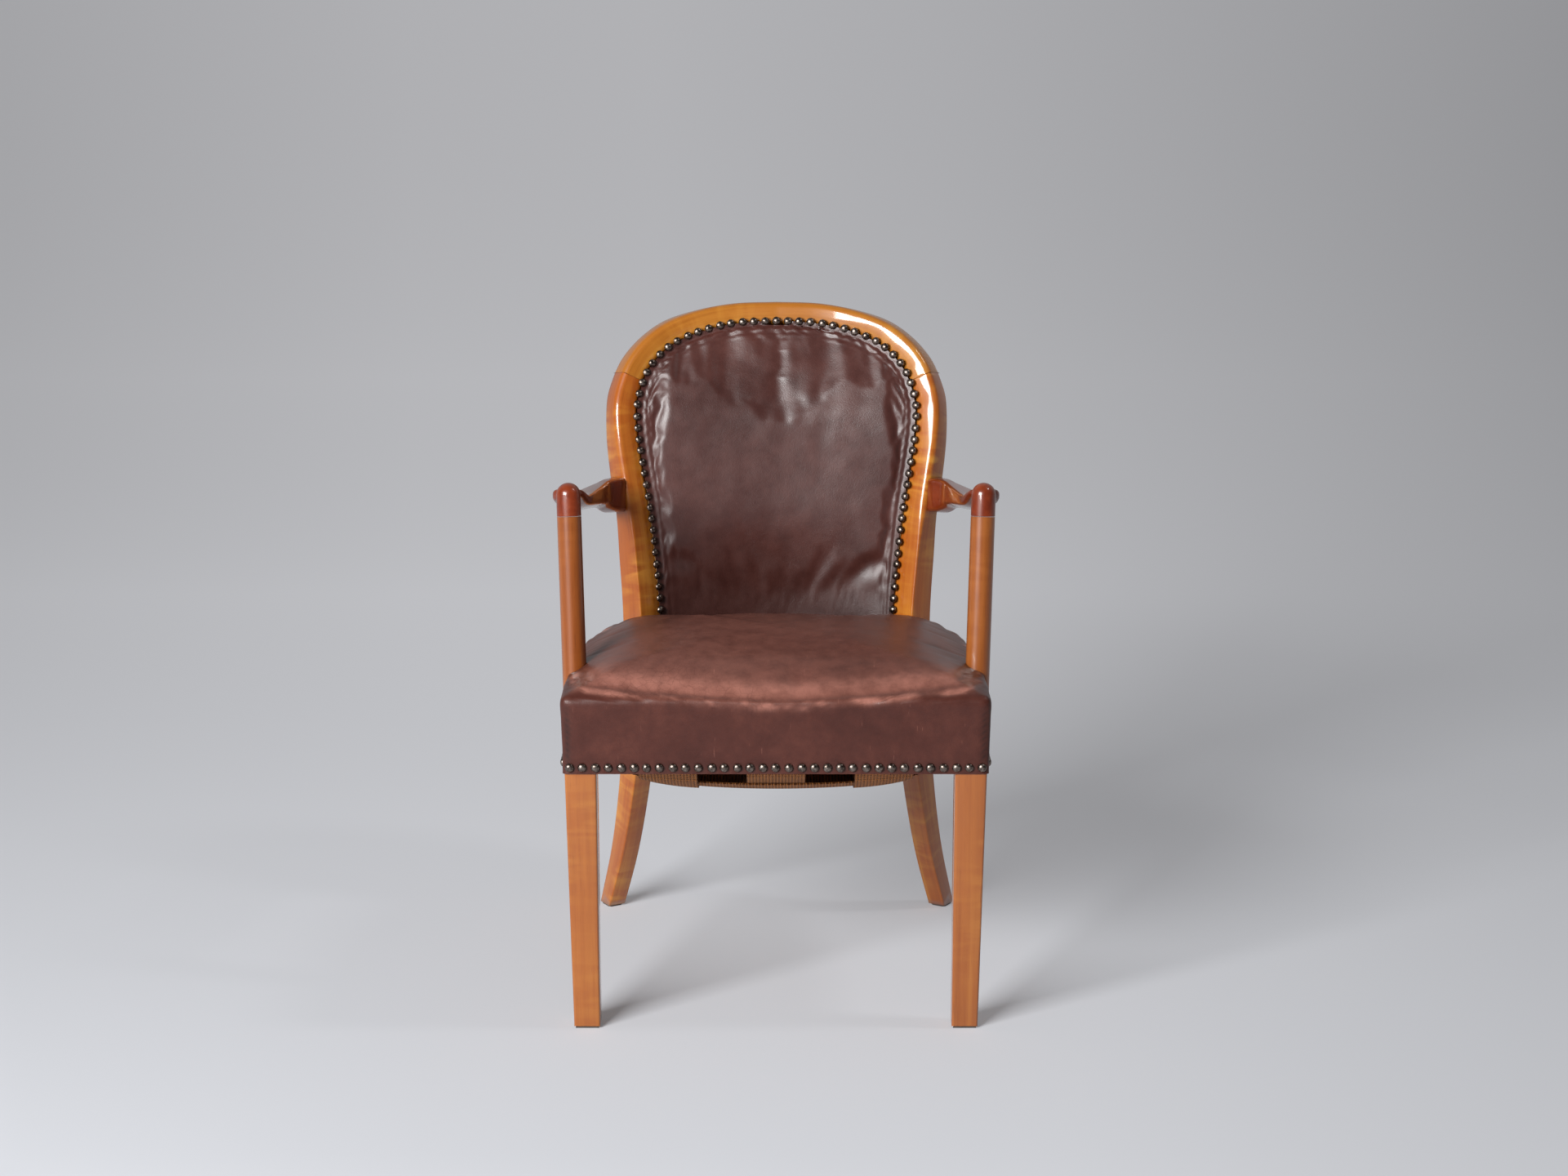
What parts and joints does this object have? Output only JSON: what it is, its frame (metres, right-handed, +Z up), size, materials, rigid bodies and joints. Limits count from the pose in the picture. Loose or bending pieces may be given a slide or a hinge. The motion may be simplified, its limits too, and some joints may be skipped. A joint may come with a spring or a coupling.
{
  "type": "upholstered armchair",
  "caption": "Low armchair with an arched wooden back frame, sabre back legs, square tapering front legs, round arm posts with domed caps, flared arms and a nailed leather seat and back",
  "frame": {"origin": "on the floor under the middle of the chair's box", "axes": "+Z up, the sitter faces -Y, +X to the right as seen from the front"},
  "size_m": [0.6022, 0.5884, 0.8822],
  "materials": {
    "orange_wood": "stained beech, satin shellac",
    "honey_wood": "stained beech with a lighter, yellow tone, glossy shellac",
    "red_wood": "darker red brown stain, glossy shellac",
    "plain_wood": "bare beech",
    "seat_leather": "worn brown leather, satin",
    "back_leather": "dark brown leather, satin",
    "nails": "dull antique nickel over brass",
    "steel": "plain",
    "jute_web": "coarse jute weave",
    "hessian": "open plain weave",
    "hair": "curled hair pad",
    "felt": "felt pad"
  },
  "bodies": {
    "root": {"front_leg_right": "orange_wood", "front_leg_left": "orange_wood", "back_leg_right": "orange_wood", "back_leg_left": "orange_wood", "crest_rail": "honey_wood", "crest_dowel_right": "plain_wood", "crest_dowel_left": "plain_wood", "back_lower_rail": "plain_wood", "seat_rail_front": "plain_wood", "seat_rail_rear": "plain_wood", "seat_rail_right": "plain_wood", "seat_rail_left": "plain_wood", "corner_block_front_right": "plain_wood", "corner_block_front_left": "plain_wood", "corner_block_rear_right": "plain_wood", "corner_block_rear_left": "plain_wood", "corner_screw_front_right": "steel", "corner_screw_front_left": "steel", "corner_screw_rear_right": "steel", "corner_screw_rear_left": "steel", "arm_right": "red_wood", "arm_left": "red_wood", "arm_post_right": "orange_wood", "arm_post_left": "orange_wood", "arm_screw_right": "steel", "arm_screw_left": "steel", "arm_post_screw_right": "steel", "arm_post_screw_left": "steel", "front_glide_right": "felt", "front_glide_left": "felt", "back_glide_right": "felt", "back_glide_left": "felt", "seat_cover": "seat_leather", "seat_stuffing": "hair", "seat_hessian": "hessian", "webbing_long_1": "jute_web", "webbing_cross_1": "jute_web", "webbing_long_2": "jute_web", "webbing_cross_2": "jute_web", "webbing_long_3": "jute_web", "webbing_cross_3": "jute_web", "spring_11": "steel", "spring_12": "steel", "spring_13": "steel", "spring_21": "steel", "spring_22": "steel", "spring_23": "steel", "spring_31": "steel", "spring_32": "steel", "spring_33": "steel", "back_cover_front": "back_leather", "back_stuffing": "hair", "back_hessian": "hessian", "back_cover_rear": "back_leather", "back_nails_front": "nails", "back_nails_rear": "nails", "seat_nails_front": "nails", "seat_nails_rear": "nails", "seat_nails_right": "nails", "seat_nails_left": "nails"}
  },
  "joints": []
}
